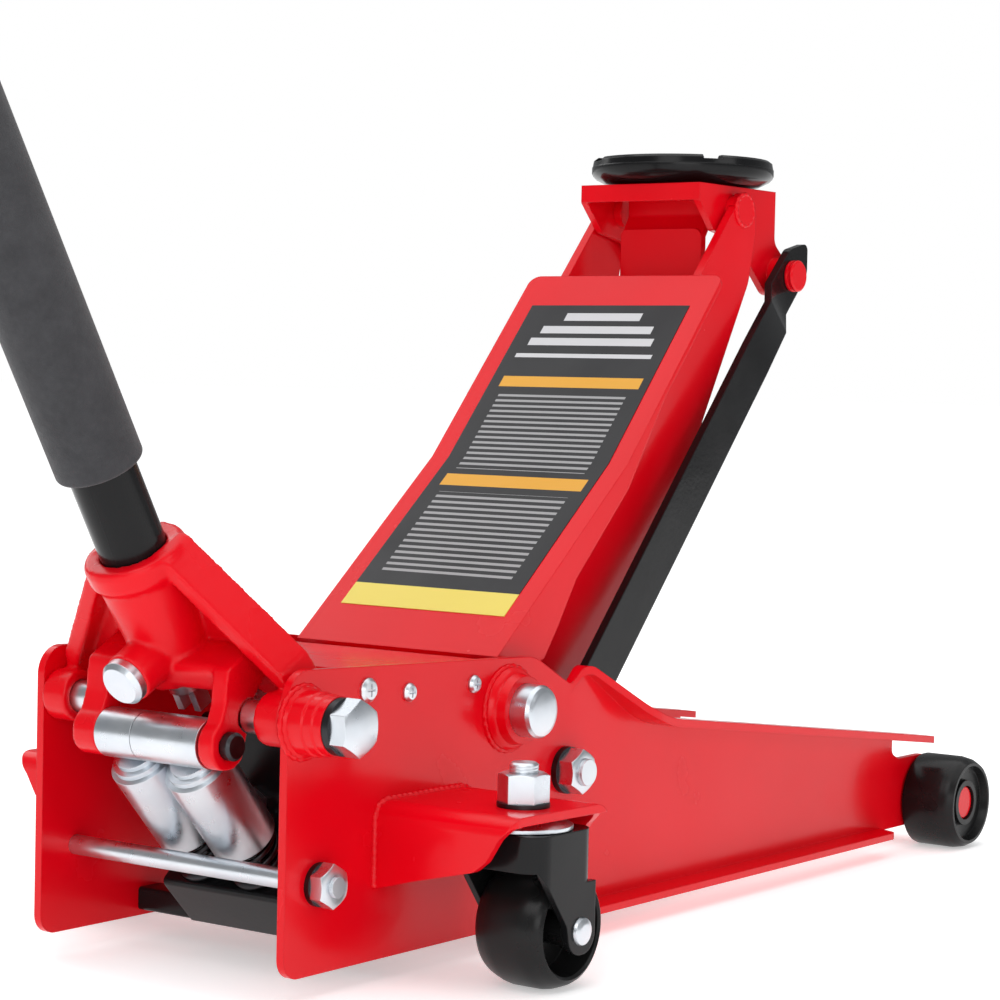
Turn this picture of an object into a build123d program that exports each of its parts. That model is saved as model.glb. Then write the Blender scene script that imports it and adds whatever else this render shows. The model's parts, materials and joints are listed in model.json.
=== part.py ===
from build123d import *
import os
from math import atan2, cos, degrees, hypot, radians, sin

# Low-profile hydraulic trolley jack, shown raised with its handle leaning back.
# Millimetres. +X runs to the front wheels, +Y to the jack's left, +Z up, and the floor is z = 0.
# The drawing origin is the lift arm's shaft line, at floor level, midway between the side plates.

# ---- driving dimensions -------------------------------------------------------------------------
FIT = 0.05                      # radial clearance of every running fit
GAP = 0.4                       # side clearance between pieces that turn past each other

PLATE = 4.5                     # side plate thickness
HALF = 82.5                     # outer face of a side plate
INNER = HALF - PLATE
BASE_Z = 12.0                   # lower edge of the side plates
FLANGE = 17.0                   # how far the front channel's flanges stand out

SHAFT_Z = 126.0                 # lift arm shaft, at x = 0
SHAFT_R = 13.7
SADDLE_X, SADDLE_Z = 273.0, 400.0           # pivot of the saddle bracket, arm raised
LINK_DX, LINK_DZ = 51.6, -37.0              # radius rod pivots, measured from the arm's pivots
ARM_ANGLE = degrees(atan2(SADDLE_Z - SHAFT_Z, SADDLE_X))
ARM_LENGTH = hypot(SADDLE_X, SADDLE_Z - SHAFT_Z)

YOKE_X, YOKE_Z = -163.0, 133.0              # pump yoke pivot
HANDLE_LEAN = 30.0                          # handle's lean from upright
HANDLE_OFFSET = 13.0                        # handle axis stands this far in front of the pivot
TUBE_R = 16.5
HANDLE_TOP = 1135.0                         # handle's top, measured along it from the pivot

ROLLER_X, ROLLER_Z, ROLLER_R = -178.0, 120.0, 12.2
PLUNGER_Y = 18.0
PLUNGER_ANGLE = 47.7                        # plungers point down and forwards by this angle

RAM_Z = 92.0                                # ram axis
LEVER = 36.0                                # ram roller's distance from the arm shaft
LEVER_ANGLE = -62.0                         # its direction from the shaft, arm raised

WHEEL_X, WHEEL_R = 460.0, 29.5              # front wheels
WHEEL_IN, WHEEL_OUT = 83.3, 118.5
STEM_X, STEM_Y = -71.0, 144.0               # caster stems
CASTER_TRAIL, CASTER_R, CASTER_W = 15.0, 30.5, 40.0
SHELF_Z = 90.0                              # top of the caster brackets

parts = {}


# ---- small helpers ------------------------------------------------------------------------------
def outline(points):
    """Closed face from (u, v, corner radius) points."""
    corners = [(u, v) for u, v, r in points]
    return make_face(FilletPolyline(*corners, radius=[r for u, v, r in points], close=True))


def slab_y(points, low, high):
    """Outline in X and Z, filled between two values of Y."""
    plane = Plane(origin=(0, high, 0), x_dir=(1, 0, 0), z_dir=(0, -1, 0))
    return plane * extrude(outline(points), high - low)


def slab_x(points, low, high):
    """Outline in Y and Z, filled between two values of X."""
    plane = Plane(origin=(low, 0, 0), x_dir=(0, 1, 0), z_dir=(1, 0, 0))
    return plane * extrude(outline(points), high - low)


def slab_z(points, low, high):
    """Outline in X and Y, filled between two values of Z."""
    return Pos(0, 0, low) * extrude(outline(points), high - low)


def round_bar(start, end, radius):
    """Cylinder from one point to another."""
    start, end = Vector(start), Vector(end)
    return Solid.make_cylinder(radius, (end - start).length, Plane(origin=start, z_dir=end - start))


def bar_y(x, z, radius, low, high):
    return round_bar((x, low, z), (x, high, z), radius)


def ring_y(x, z, outer, inner, low, high):
    return bar_y(x, z, outer, low, high) - bar_y(x, z, inner, low - 1, high + 1)


def hexagon(start, end, across_flats):
    """Hexagonal bar whose corners are chamfered at the end face, as on a nut or bolt head."""
    start, end = Vector(start), Vector(end)
    height = (end - start).length
    plane = Plane(origin=start, z_dir=end - start)
    corner = across_flats / 2 / cos(radians(30))
    bar = extrude(RegularPolygon(across_flats / 2, 6, major_radius=False), height)
    cone = [(0, 0), (corner + 1, 0), (corner + 1, height - 1.6), (across_flats / 2 - 0.6, height),
            (0, height)]
    turned = revolve(Plane.XZ * make_face(Polyline(*cone, close=True)), Axis.Z)
    return plane * (bar & turned)


def turned_y(x, z, profile):
    """Solid of revolution about a line along Y; profile is a list of (radius, y)."""
    plane = Plane(origin=(x, 0, z), x_dir=(1, 0, 0), z_dir=(0, 1, 0))
    return plane * revolve(Plane.XZ * make_face(Polyline(*profile, close=True)), Axis.Z)


def turned_z(x, y, profile):
    """Solid of revolution about a vertical line; profile is a list of (radius, z)."""
    return Pos(x, y, 0) * revolve(Plane.XZ * make_face(Polyline(*profile, close=True)), Axis.Z)


def mirrored(shape):
    return mirror(shape, about=Plane.XZ)


def pair(shape):
    """The shape on the left and its mirror image on the right, as one group."""
    return Compound([*shape.solids(), *mirrored(shape).solids()])


def group(shapes):
    return Compound([solid for shape in shapes for solid in shape.solids()])


def add_pair(name, left):
    parts["left_" + name] = left
    parts["right_" + name] = mirrored(left)


# ---- frame --------------------------------------------------------------------------------------
LINK_X, LINK_Z = LINK_DX, SHAFT_Z + LINK_DZ          # radius rod's pivot on the frame
PIN_X, PIN_Z = SADDLE_X + LINK_DX, SADDLE_Z + LINK_DZ  # and on the saddle bracket
TIE_X, TIE_Z, TIE_R = -150.0, 55.0, 5.0
CHANNEL_FRONT = 443.0
CHANNEL_EDGE = [(56, 134, 4), (67, 145.8, 9), (122, 112.0, 90), (CHANNEL_FRONT, 72.7, 0)]
SCREWS = [(-116.0, 144.5, 6.0), (-84.0, 141.0, 4.6), (-31.0, 141.0, 4.6)]
HANDLE_BOLT_R, LINK_BOLT_R, AXLE_R = 8.0, 7.0, 10.8
WASHER_TOP = SHELF_Z + 2.2
COLLAR = HALF + 22.0                        # outer end of the yoke bolt's collar, on the right


def side_plate():
    """Left side frame: a flat rear plate that runs on into a channel with outward flanges."""
    web = slab_y(
        [(-174, BASE_Z, 10), (-174, 157.8, 14), (22, 151.4, 25), *CHANNEL_EDGE[:3], (418, 75.7, 0),
         (418, 62, 5), (427, 58, 4), (478, 58, 20), (478, 14, 18), (410, 14, 3), (404, BASE_Z, 0)],
        INNER, HALF)
    lower = [(x, z - 4.5, r) for x, z, r in reversed(CHANNEL_EDGE)]
    lip = slab_y([(56, 134, 0), *CHANNEL_EDGE[1:], *lower[:3], (56, 129.5, 0)], HALF - 1, HALF + FLANGE)
    lip -= slab_z([(40, HALF, 0), (56, HALF, 0), (128, HALF + 20, 0), (40, HALF + 20, 0)], 100, 160)
    foot = slab_z([(30, HALF - 1, 0), (50, HALF + FLANGE, 6), (395, HALF + FLANGE, 8), (403, HALF - 1, 0)],
                  BASE_Z, BASE_Z + 4)
    plate = web + lip + foot
    holes = [(0, SHAFT_Z, SHAFT_R), (YOKE_X, YOKE_Z, HANDLE_BOLT_R), (LINK_X, LINK_Z, LINK_BOLT_R),
             (TIE_X, TIE_Z, TIE_R), (WHEEL_X, WHEEL_R, AXLE_R), *[(x, z, 2.5) for x, z, r in SCREWS]]
    for x, z, r in holes:
        plate -= bar_y(x, z, r + FIT, INNER - 1, HALF + 1)
    return plate


def caster_bracket():
    """Left caster shelf, a sheet folded down at its front and rear edges."""
    low, high, sheet = -109.0, -30.5, 4.5
    outer = slab_y([(low, 40, 0), (low, SHELF_Z, 10), (high, SHELF_Z, 10), (high, 40, 0)], HALF, 168)
    inner = slab_y([(low + sheet, 30, 0), (low + sheet, SHELF_Z - sheet, 5.5),
                    (high - sheet, SHELF_Z - sheet, 5.5), (high - sheet, 30, 0)], HALF - 1, 169)
    side = slab_x([(HALF, 47, 0), (HALF, SHELF_Z, 0), (168, SHELF_Z, 0), (168, 85.5, 0), (163, 85, 3),
                   (157, 79, 5), (150, 68, 6), (143, 62.5, 8), (108, 54, 20)], low, high)
    plan = slab_z([(low, HALF, 0), (low, 164.5, 7), (high, 167, 3), (high, HALF, 0)], 30, SHELF_Z + 1)
    shelf = (outer - inner) & side & plan
    return shelf - round_bar((STEM_X, STEM_Y, 70), (STEM_X, STEM_Y, 100), 7.0 + FIT)


def unit_cover():
    """Sheet that closes the frame over the pump, with a fold down each side for its screws."""
    rear, front, sheet = -124.0, -8.0, 3.0
    half = INNER - 0.1
    top = slab_y([(rear, 154.6, 0), (front, 150.9, 0), (front, 150.9 - sheet, 0), (rear, 154.6 - sheet, 0)],
                 -half, half)
    fold = slab_y([(rear, 153.6, 0), (rear, 131, 6), (-22, 131, 6), (-22, 150, 0)], half - sheet, half)
    for x, z, r in SCREWS:
        fold -= bar_y(x, z, 2.5 + FIT, half - sheet - 1, half + 1)
    return top + fold + mirrored(fold)


def cover_screws():
    """Pan-head screws of the unit cover, with a cross recess."""
    screws = []
    for x, z, r in SCREWS:
        head = turned_y(x, z, [(0, HALF), (r, HALF), (r, HALF + 1.2), (r * 0.75, HALF + 2.6),
                               (0, HALF + 3.0)])
        recess = Box(r, 3, 0.9) + Box(0.9, 3, r)
        head -= Pos(x, HALF + 3.4, z) * recess
        screws.append(head + bar_y(x, z, 2.5, 71, HALF + 0.5))
    return pair(group(screws))


def plate_bushings():
    """Turned collars: one round each end of the arm shaft, and one under the right yoke bolt's head."""
    shaft = turned_y(0, SHAFT_Z, [
        (SHAFT_R + FIT, HALF), (21.5, HALF), (21.5, HALF + 2.5), (19.5, HALF + 5), (18.5, HALF + 5.5),
        (17.5, HALF + 10.5), (SHAFT_R + FIT, HALF + 10.5)])
    yoke = turned_y(YOKE_X, YOKE_Z, [
        (HANDLE_BOLT_R + FIT, HALF), (17, HALF), (17, HALF + 1.5), (15.5, HALF + 3), (15.5, HALF + 11),
        (14.7, HALF + 12), (14.7, HALF + 16.5), (14, HALF + 17.5), (14, COLLAR), (HANDLE_BOLT_R + FIT, COLLAR)])
    return group([shaft, mirrored(shaft), mirrored(yoke)])


def arm_shaft():
    """Shaft through both side plates, with domed ends."""
    end = 105.5
    half = [(0, 0), (SHAFT_R, 0), (SHAFT_R, end - 3), (SHAFT_R - 1.2, end - 1.2), (SHAFT_R - 4, end),
            (0, end)]
    left = turned_y(0, SHAFT_Z, half)
    return left + mirrored(left)


def handle_pivot_bolts():
    """The yoke's pivots: a bolt through the right plate and a pin that ends flush with the left one."""
    head = hexagon((YOKE_X, -COLLAR - 4, YOKE_Z), (YOKE_X, -COLLAR - 13.5, YOKE_Z), 24)
    bolt = head + bar_y(YOKE_X, YOKE_Z, HANDLE_BOLT_R, -COLLAR - 5, -50)
    return group([bolt, bar_y(YOKE_X, YOKE_Z, HANDLE_BOLT_R, 50, HALF)])


def radius_rod_bolts():
    """Flat-headed bolts that carry the rear ends of the radius rods."""
    head = turned_y(LINK_X, LINK_Z, [(0, 69.2), (9.5, 69.2), (10, 69.7), (10, 70.5), (0, 70.5)])
    return pair(head + bar_y(LINK_X, LINK_Z, LINK_BOLT_R, 70, 98.5))


def hex_nuts():
    """Nuts of the tie rod, the radius rod bolts and the caster stems."""
    tie = hexagon((TIE_X, 85.5, TIE_Z), (TIE_X, 93, TIE_Z), 19) - bar_y(TIE_X, TIE_Z, TIE_R + FIT, 80, 100)
    link = hexagon((LINK_X, 86, LINK_Z), (LINK_X, 95.5, LINK_Z), 21)
    link -= bar_y(LINK_X, LINK_Z, LINK_BOLT_R + FIT, 80, 100)
    stem = hexagon((STEM_X, STEM_Y, WASHER_TOP), (STEM_X, STEM_Y, 106.5), 22)
    stem -= round_bar((STEM_X, STEM_Y, 90), (STEM_X, STEM_Y, 110), 7.0 + FIT)
    return pair(group([tie, link, stem]))


def lock_washers():
    """Dark spring washers under the nuts and under the yoke bolt's head."""
    yoke = ring_y(YOKE_X, YOKE_Z, 13.6, HANDLE_BOLT_R + FIT, -COLLAR - 4, -COLLAR)
    link = ring_y(LINK_X, LINK_Z, 12.5, LINK_BOLT_R + FIT, HALF, 86)
    tie = ring_y(TIE_X, TIE_Z, 10.5, TIE_R + FIT, HALF, 85.5)
    stem = round_bar((STEM_X, STEM_Y, SHELF_Z), (STEM_X, STEM_Y, WASHER_TOP), 13)
    stem -= round_bar((STEM_X, STEM_Y, 80), (STEM_X, STEM_Y, 100), 7.0 + FIT)
    return group([yoke, pair(group([link, tie, stem]))])


def caster_stems():
    """Studs with a bearing flange under the shelf and a riveted head that keeps the fork on."""
    profile = [(0, 70.6), (10.5, 70.6), (10.5, 75.0), (7, 75.0), (7, 80.2), (24.5, 80.2), (24.5, 82), (20, 84),
               (16.5, SHELF_Z - 4.5), (7, SHELF_Z - 4.5), (7, 110.5), (6, 111.5), (0, 111.5)]
    return pair(turned_z(STEM_X, STEM_Y, profile))


def front_axle():
    half = [(0, 0), (AXLE_R, 0), (AXLE_R, 112.5), (AXLE_R - 1, 113.5), (0, 113.5)]
    left = turned_y(WHEEL_X, WHEEL_R, half)
    return left + mirrored(left)


# ---- front wheels and casters -------------------------------------------------------------------
def front_wheel():
    """Barrel wheel with a shallow dished face."""
    r, y0, y1 = WHEEL_R, WHEEL_IN, WHEEL_OUT
    profile = [(AXLE_R + FIT, y0), (15, y0), (15, y0 + 2), (r - 7, y0 + 2), (r - 6, y0), (r - 1.5, y0),
               (r - 0.4, y0 + 0.6), (r, y0 + 2), (r, y1 - 10), (r - 1.2, y1 - 4), (r - 3.5, y1),
               (r - 5.5, y1), (r - 7, y1 - 5), (14.5, y1 - 6), (14.5, y1 - 3.5), (AXLE_R + FIT, y1 - 3.5)]
    return turned_y(WHEEL_X, WHEEL_R, profile)


CASTER_X = STEM_X + CASTER_TRAIL
FORK_LEG, FORK_IN = 3.5, CASTER_W / 2 + 1.8


def caster_fork():
    """Swivel fork: a domed cap with two legs that narrow down to the axle."""
    out = FORK_IN + FORK_LEG
    plan = [(-94, STEM_Y - out, 12), (-94, STEM_Y + out, 12), (-44.5, STEM_Y + out, 10),
            (-44.5, STEM_Y - out, 10)]
    cap = slab_z(plan, 75.4, 79.8)
    leg = slab_y([(-94, 79.8, 3), (-94, 68, 6), (CASTER_X - 12, 34, 8), (CASTER_X - 9, 19, 10),
                  (CASTER_X + 11.5, 19, 10), (CASTER_X + 11.5, 79.8, 3)], FORK_IN, out)
    legs = Pos(0, STEM_Y, 0) * leg + Pos(0, STEM_Y, 0) * mirrored(leg)
    legs &= slab_z(plan, 54, 90) + Pos(CASTER_X, STEM_Y, 29) * Box(80, 80, 50)
    skirt = slab_z([(-94, -out, 12), (-94, out, 12), (-80, out, 0), (-80, -out, 0)], 62, 79.8)
    skirt -= slab_z([(-90.5, -FORK_IN, 8.5), (-90.5, FORK_IN, 8.5), (-76, FORK_IN, 0), (-76, -FORK_IN, 0)],
                    60, 81)
    fork = cap + legs + Pos(0, STEM_Y, 0) * skirt
    fork -= round_bar((STEM_X, STEM_Y, 60), (STEM_X, STEM_Y, 90), 7.0 + FIT)
    return fork - bar_y(CASTER_X, CASTER_R, 4.5 + FIT, 100, 200)


def caster_axle():
    """Rivet through the fork legs."""
    half = [(0, 0), (4.5, 0), (4.5, FORK_IN + FORK_LEG), (7, FORK_IN + FORK_LEG),
            (6.5, FORK_IN + FORK_LEG + 1.6), (4, FORK_IN + FORK_LEG + 2.6), (0, FORK_IN + FORK_LEG + 2.8)]
    outer = turned_y(CASTER_X, CASTER_R, half)
    return Pos(0, STEM_Y, 0) * (outer + mirrored(outer))


def caster_wheel():
    """Moulded wheel: a crowned rim, a thin web and a hub."""
    r, w = CASTER_R, CASTER_W / 2
    half = [(4.5 + FIT, 0), (4.5 + FIT, w), (9, w), (9, w - 1), (8, 4), (r - 9, 3), (r - 7.5, w - 1),
            (r - 6, w), (r - 4.2, w - 1.2), (r - 2.9, w - 3.2), (r - 1.8, w - 6), (r - 0.6, w - 9.5),
            (r, w - 13), (r, 0)]
    outer = turned_y(CASTER_X, CASTER_R, half)
    return Pos(0, STEM_Y, 0) * (outer + mirrored(outer))


# ---- hydraulic unit -----------------------------------------------------------------------------
BLOCK_FRONT = -86.0
TANK_R, TANK_FRONT = 31.0, -47.0
DOWN = Vector(cos(radians(-PLUNGER_ANGLE)), 0, sin(radians(-PLUNGER_ANGLE)))
PUMP_GAP = 0.8
CONTACT = Vector(ROLLER_X, 0, ROLLER_Z) + DOWN * (ROLLER_R + PUMP_GAP)
SEAT = 79.0                                 # spring seat, measured down the plunger
PLUNGER_R = 5.0


def plunger_frame(side):
    """Working plane at the top of a plunger, its Z axis pointing down the plunger."""
    return Plane(origin=(CONTACT.X, side * PLUNGER_Y, CONTACT.Z), x_dir=(0, 1, 0), z_dir=DOWN)


def pump_block():
    """Cast block with two slanted seats, and a foot that reaches both side plates."""
    body = slab_y([(BLOCK_FRONT, 15, 2), (-106, 15, 2), (-129, 38.5, 3), (-103, 62, 3), (-103, 122, 6),
                   (BLOCK_FRONT, 122, 2)], -38, 38)
    foot = slab_y([(BLOCK_FRONT, 15, 2), (-104, 15, 2), (-104, 27, 2), (BLOCK_FRONT, 27, 2)], -INNER, INNER)
    block = body + foot
    for side in (1, -1):
        bore = plunger_frame(side) * (Pos(0, 0, SEAT - 10) * Solid.make_cylinder(PLUNGER_R + FIT, 50))
        block -= bore
    block -= round_bar((-104, 0, RAM_Z - 14), (-98, 0, RAM_Z - 14), 6 + FIT)
    return block


def reservoir():
    """Oil tank tube round the ram cylinder."""
    outer = round_bar((BLOCK_FRONT, 0, RAM_Z), (TANK_FRONT, 0, RAM_Z), TANK_R)
    return outer - round_bar((BLOCK_FRONT - 1, 0, RAM_Z), (TANK_FRONT + 1, 0, RAM_Z), TANK_R - 3)


def ram_cylinder():
    """Cylinder with a screwed end cap that closes the tank and guides the ram."""
    barrel = round_bar((BLOCK_FRONT, 0, RAM_Z), (TANK_FRONT + 1, 0, RAM_Z), 17)
    barrel -= round_bar((BLOCK_FRONT - 1, 0, RAM_Z), (TANK_FRONT, 0, RAM_Z), 12)
    disc = round_bar((TANK_FRONT, 0, RAM_Z), (-42, 0, RAM_Z), TANK_R)
    nut = hexagon((-42.5, 0, RAM_Z), (-39, 0, RAM_Z), 36)
    return barrel + disc + nut - round_bar((-60, 0, RAM_Z), (-30, 0, RAM_Z), 11 + FIT)


def filler_plug():
    """Rubber-faced plug on top of the tank."""
    x, z = -66.0, RAM_Z + TANK_R
    plug = turned_z(x, 0, [(0, z - 2), (7, z - 2), (7, z + 2), (6, z + 4), (0, z + 4)])
    return plug - round_bar((-86, 0, RAM_Z), (-47, 0, RAM_Z), TANK_R + FIT)


def release_valve():
    """Hexagon fitting in the back of the block that the release shaft turns in."""
    z = RAM_Z - 14
    body = hexagon((-103, 0, z), (-110, 0, z), 17) + round_bar((-103.5, 0, z), (-98, 0, z), 6)
    return body - round_bar((-112, 0, z), (-97, 0, z), 3.5 + FIT)


RELEASE_Z = RAM_Z - 14


def release_shaft():
    """Short spindle of the release valve, with a slotted end."""
    shaft = turned_x(-99, [(0, 0), (3.5, 0), (3.5, -14), (5.2, -14), (5.2, -21), (0, -21)], RELEASE_Z)
    slot = Pos(-120, 0, RELEASE_Z) * Box(6, 20, 2.4)
    return shaft - slot


def turned_x(x, profile, z):
    """Solid of revolution about a line along X; profile is a list of (radius, distance along X)."""
    plane = Plane(origin=(x, 0, z), x_dir=(0, 1, 0), z_dir=(1, 0, 0))
    return plane * revolve(Plane.XZ * make_face(Polyline(*profile, close=True)), Axis.Z)


SPRING_WIRE, SPRING_R, SPRING_TOP, SPRING_PITCH = 1.6, 13.3, 27.0, 5.2


def pump_springs():
    """Return springs of the plungers, drawn as stacked coils, with a washer at each seat."""
    solids = []
    for side in (1, -1):
        frame = plunger_frame(side)
        washer = Solid.make_cylinder(16.3, 2) - Solid.make_cylinder(PLUNGER_R + 0.6, 2)
        solids.append(frame * (Pos(0, 0, SEAT - 2) * washer))
        along = SPRING_TOP
        while along < SEAT - 4:
            solids.append(frame * (Pos(0, 0, along) * Solid.make_torus(SPRING_R, SPRING_WIRE)))
            along += SPRING_PITCH
    return group(solids)


def plunger_cap(side):
    """Spring cup with stepped rings on the end that the roller presses."""
    profile = [(0, 0), (11.7, 0), (11.7, 2.4), (14.5, 2.8), (14.5, 5.4), (17, 6), (17, 57), (16.4, 58),
               (15.3, 58), (15.3, 10), (0, 10)]
    cap = revolve(Plane.XZ * make_face(Polyline(*profile, close=True)), Axis.Z)
    return plunger_frame(side) * cap


def plunger_rod(side):
    return plunger_frame(side) * (Pos(0, 0, 10) * Solid.make_cylinder(PLUNGER_R, 88))


LEVER_X = LEVER * cos(radians(LEVER_ANGLE))
LEVER_Z = SHAFT_Z + LEVER * sin(radians(LEVER_ANGLE))
RAM_ROLLER_R, RAM_GAP = 11.5, 1.5
RAM_FACE = LEVER_X - RAM_ROLLER_R - RAM_GAP


def ram():
    """Hydraulic ram with a flat pushing head."""
    rod = round_bar((-51.5, 0, RAM_Z), (RAM_FACE - 6, 0, RAM_Z), 11)
    return rod + round_bar((RAM_FACE - 7, 0, RAM_Z), (RAM_FACE, 0, RAM_Z), 13)


# ---- pump yoke and handle -----------------------------------------------------------------------
LEAN = radians(HANDLE_LEAN)
UP = Vector(-sin(LEAN), 0, cos(LEAN))                # along the handle
OUT = Vector(cos(LEAN), 0, sin(LEAN))                # square to it, towards the front
HANDLE_BASE = Vector(YOKE_X, 0, YOKE_Z) + OUT * HANDLE_OFFSET
HANDLE_FRAME = Plane(origin=HANDLE_BASE, x_dir=OUT, z_dir=UP)
SOCKET_TOP, SOCKET_BOTTOM, TUBE_BOTTOM = 83.0, 12.0, 24.0
PIN_AT = HANDLE_FRAME.to_local_coords(Vector(ROLLER_X, 0, ROLLER_Z))
PIVOT_AT = HANDLE_FRAME.to_local_coords(Vector(YOKE_X, 0, YOKE_Z))
EAR_LEFT, EAR_RIGHT = (27.2, 42.2), (39.7, 49.5)        # inner and outer faces of the yoke's ears
ROLLER_PIN_R = 6.0


def ear(low, high):
    """Lobe that holds one end of the roller pin."""
    x, z = PIN_AT.X, PIN_AT.Z
    arm = slab_y([(x - 11.5, z + 2, 8), (-26, 14, 10), (-16, 28, 6), (8, 28, 6), (8, 12, 6), (-10, 4, 8),
                  (x + 12, z - 5, 8), (x, z - 10, 6)], low, high)
    return arm + bar_y(x, z, 12, low, high)


def handle_yoke():
    """Cast yoke in its own frame: X square to the handle, Z along it."""
    socket = revolve(Plane.XZ * make_face(Polyline(
        (0, SOCKET_BOTTOM), (17, SOCKET_BOTTOM), (19, 30), (22, 68), (25, 72), (25.5, 80),
        (24, SOCKET_TOP), (0, SOCKET_TOP), close=True)), Axis.Z)
    strap = slab_x([(18, 84, 0), (22, 83, 2), (71.5, 20, 8), (74, 10, 6), (74, -13, 5), (66.5, -13, 2),
                    (66.5, 12, 4), (62, 18, 4), (16, 77, 0)], -6, 16)
    boss = bar_y(PIVOT_AT.X, PIVOT_AT.Z, 13, 62, INNER - GAP)
    web = slab_x([(0, 78, 0), (20, 80, 0), (70, 20, 0), (72, 0, 3), (66, -12, 3), (36, 0, 12), (0, 10, 0)],
                 8, 14)
    half = strap + boss + web
    block = slab_y([(-16, 28, 4), (8, 28, 4), (8, 13, 4), (-16, 13, 4)], -EAR_RIGHT[1], EAR_LEFT[1])
    block += ear(*EAR_LEFT) + mirrored(ear(*EAR_RIGHT))
    bolt_boss = round_bar((0, 0, 30), (-33, 0, 30), 12.5)
    yoke = socket + half + mirrored(half) + block + bolt_boss
    yoke -= round_bar((0, 0, TUBE_BOTTOM - 0.2), (0, 0, SOCKET_TOP + 1), TUBE_R + 0.1)
    yoke -= round_bar((0, 0, 0), (0, 0, TUBE_BOTTOM), 12)
    yoke -= bar_y(PIVOT_AT.X, PIVOT_AT.Z, HANDLE_BOLT_R + FIT, -90, 90)
    yoke -= bar_y(PIN_AT.X, PIN_AT.Z, ROLLER_PIN_R + FIT, -60, 60)
    yoke -= round_bar((-10, 0, 30), (-40, 0, 30), 5 + FIT)
    return HANDLE_FRAME * yoke


def clamp_bolt():
    """Bolt through the back of the socket; its end runs in the tube's groove."""
    head = turned_local([(0, 33), (11.6, 33), (11.6, 37), (9.6, 39.4), (0, 40)], 30)
    shank = round_bar((-TUBE_R - 0.5, 0, 30), (-33.5, 0, 30), 5)
    return HANDLE_FRAME * (head + shank)


def turned_local(profile, along):
    """Solid of revolution about -X at a height along the handle; profile is (radius, distance)."""
    plane = Plane(origin=(0, 0, along), x_dir=(0, 1, 0), z_dir=(-1, 0, 0))
    return plane * revolve(Plane.XZ * make_face(Polyline(*profile, close=True)), Axis.Z)


def roller_pin():
    """Pin of the pump rollers, with a riveted disc on its right end."""
    disc = turned_y(ROLLER_X, ROLLER_Z, [(0, -55), (5.5, -55), (6.8, -53.6), (6.8, -49.8), (0, -49.8)])
    return disc + bar_y(ROLLER_X, ROLLER_Z, ROLLER_PIN_R, -50.5, 41)


def pump_rollers():
    """Short and long roller side by side on the pin."""
    short = ring_y(ROLLER_X, ROLLER_Z, ROLLER_R, ROLLER_PIN_R + FIT, 3.3, 26.8)
    long = ring_y(ROLLER_X, ROLLER_Z, ROLLER_R, ROLLER_PIN_R + FIT, -39.3, 2.9)
    return group([short, long])


def tube_local(low, high, outer, inner):
    tube = round_bar((0, 0, low), (0, 0, high), outer)
    return tube - round_bar((0, 0, low - 1), (0, 0, high + 1), inner)


UPPER_R, UPPER_START, LOWER_END = 14.0, 520.0, 600.0
SLEEVE_R, SLEEVE_START, SLEEVE_END = 21.5, 128.0, 565.0
GRIP_START = 1010.0


def lower_handle_tube():
    tube = tube_local(TUBE_BOTTOM, LOWER_END, TUBE_R, UPPER_R + FIT)
    return HANDLE_FRAME * (tube - round_bar((0, 0, LOWER_END - 12), (-30, 0, LOWER_END - 12), 4 + FIT))


def upper_handle_tube():
    tube = tube_local(UPPER_START, HANDLE_TOP - 4, UPPER_R, UPPER_R - 2.2)
    return HANDLE_FRAME * (tube - round_bar((0, 0, LOWER_END - 12), (-30, 0, LOWER_END - 12), 4 + FIT))


def handle_sleeve():
    """Foam sleeve that guards the car's body."""
    sleeve = tube_local(SLEEVE_START, SLEEVE_END, SLEEVE_R, TUBE_R + FIT)
    return HANDLE_FRAME * fillet(sleeve.edges().filter_by(GeomType.CIRCLE).group_by(SortBy.RADIUS)[-1], 2.5)


def handle_grip():
    """Rubber grip with a rounded end and shallow rings."""
    profile = [(UPPER_R + FIT, GRIP_START), (17.5, GRIP_START), (18.5, GRIP_START + 3)]
    along = GRIP_START + 12
    while along < HANDLE_TOP - 20:
        profile += [(18.5, along), (17.3, along + 1.5), (17.3, along + 3.5), (18.5, along + 5)]
        along += 14
    profile += [(18.5, HANDLE_TOP - 4), (16, HANDLE_TOP), (0, HANDLE_TOP), (0, HANDLE_TOP - 3.9),
                (UPPER_R + FIT, HANDLE_TOP - 3.9)]
    return HANDLE_FRAME * revolve(Plane.XZ * make_face(Polyline(*profile, close=True)), Axis.Z)


def handle_lock_button():
    """Spring button that locks the two halves of the handle."""
    button = turned_local([(0, 12), (4, 12), (4, TUBE_R + 1.5), (3, TUBE_R + 2.5), (0, TUBE_R + 2.5)],
                          LOWER_END - 12)
    return HANDLE_FRAME * button


def release_coupling():
    """Forked joint at the foot of the handle that turns the release valve."""
    body = round_bar((0, 0, 4), (0, 0, TUBE_BOTTOM + 1), 9)
    body += round_bar((0, 0, TUBE_BOTTOM + 0.2), (0, 0, 40), 13.9)
    ears = Box(9, 15, 16) - Pos(0, 0, -4) * Box(12, 7, 14)
    return HANDLE_FRAME * (body + ears)


# ---- lift arm -----------------------------------------------------------------------------------
COVER = [(8.0, 151.0), (126.0, 250.0), (222.0, 359.0)]       # top surface of the arm cover
COVER_T, COVER_HALF = 3.0, 68.5
CHEEK_IN, CHEEK_OUT = 44.5, 50.0
LABEL_T, LABEL_HALF = 0.4, 56.0
HUB_R = 19.5


def offset_line(points, distance):
    """The bent line moved square to itself, downwards for a positive distance."""
    (ax, az), (bx, bz), (cx, cz) = points
    first, second = atan2(bz - az, bx - ax), atan2(cz - bz, cx - bx)
    middle = (first + second) / 2
    reach = distance / cos((second - first) / 2)
    return [(ax + distance * sin(first), az - distance * cos(first)),
            (bx + reach * sin(middle), bz - reach * cos(middle)),
            (cx + distance * sin(second), cz - distance * cos(second))]


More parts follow.
